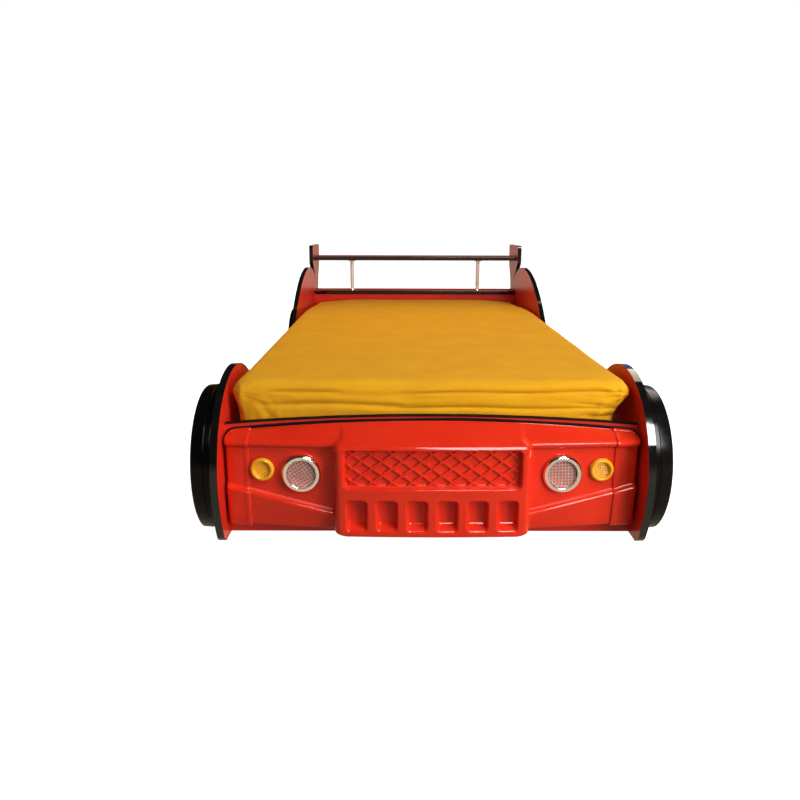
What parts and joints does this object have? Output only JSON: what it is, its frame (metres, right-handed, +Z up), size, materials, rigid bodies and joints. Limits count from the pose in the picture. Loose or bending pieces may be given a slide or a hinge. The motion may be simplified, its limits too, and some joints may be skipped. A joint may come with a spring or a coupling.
{
  "type": "toddler bed",
  "caption": "Low toddler bed shaped like a racing car: two cut side boards, moulded front bumper with lamps, wheels, headboard shelf, rear wing and a mattress.",
  "frame": {"origin": "centre of the bed's footprint, on the floor", "axes": "+Y along the bed from the bumper at the foot to the wing at the head, +Z up, +X to the right seen from the foot"},
  "size_m": [0.85, 1.6742, 0.4594],
  "materials": {
    "red_board": "satin lacquer on fibreboard",
    "black_edging": "smooth, slightly glossy T-moulding",
    "red_plastic": "high gloss moulding",
    "black_plastic": "gloss moulding",
    "grey_plastic": "silver-grey moulding",
    "chrome": "bright plating",
    "clear_lens": "clear moulded grid",
    "amber_plastic": "gloss moulding",
    "pine": "planed, unfinished",
    "webbing": "woven tape",
    "zinc": "zinc plated",
    "foam": "foam in a knitted cover",
    "yellow_cotton": "plain woven cotton sheet",
    "glide_plastic": "plain"
  },
  "bodies": {
    "bed_frame": {"bumper_end_cap_left": "red_plastic", "bumper_end_cap_right": "red_plastic", "bumper_screws": "zinc", "bumper_shell": "red_plastic", "bumper_trim": "black_edging", "cross_rail": "pine", "floor_glides": "glide_plastic", "front_board": "red_board", "front_board_edging": "black_edging", "headboard": "red_board", "headboard_shelf": "red_board", "headlamp_bezel_left": "chrome", "headlamp_bezel_right": "chrome", "headlamp_lens_left": "clear_lens", "headlamp_lens_right": "clear_lens", "headlamp_reflector_left": "red_plastic", "headlamp_reflector_right": "red_plastic", "indicator_housing_left": "amber_plastic", "indicator_housing_right": "amber_plastic", "indicator_lens_left": "amber_plastic", "indicator_lens_right": "amber_plastic", "ledger_rail_left": "pine", "ledger_rail_right": "pine", "ledger_screws": "zinc", "panel_screws": "zinc", "screw_caps": "red_plastic", "shelf_edging": "black_edging", "side_edging_left": "black_edging", "side_edging_right": "black_edging", "side_panel_left": "red_board", "side_panel_right": "red_board", "slat_webbing": "webbing", "slats": "pine", "strut_flanges": "chrome", "wheel_bolts": "zinc", "wheel_hub_cap_front_left": "grey_plastic", "wheel_hub_cap_front_right": "grey_plastic", "wheel_hub_cap_rear_left": "grey_plastic", "wheel_hub_cap_rear_right": "grey_plastic", "wheel_spacer_front_left": "black_plastic", "wheel_spacer_front_right": "black_plastic", "wheel_spacer_rear_left": "black_plastic", "wheel_spacer_rear_right": "black_plastic", "wheel_tyre_front_left": "black_plastic", "wheel_tyre_front_right": "black_plastic", "wheel_tyre_rear_left": "black_plastic", "wheel_tyre_rear_right": "black_plastic", "wing_board": "red_board", "wing_edging": "black_edging", "wing_strut_left": "chrome", "wing_strut_right": "chrome"},
    "mattress": {"mattress": "foam", "fitted_sheet": "yellow_cotton"}
  },
  "joints": [
    {"name": "mattress_lift", "type": "slide", "parent": "bed_frame", "child": "mattress", "axis": [0, 0, 1], "range_m": [0, 0.25]}
  ]
}
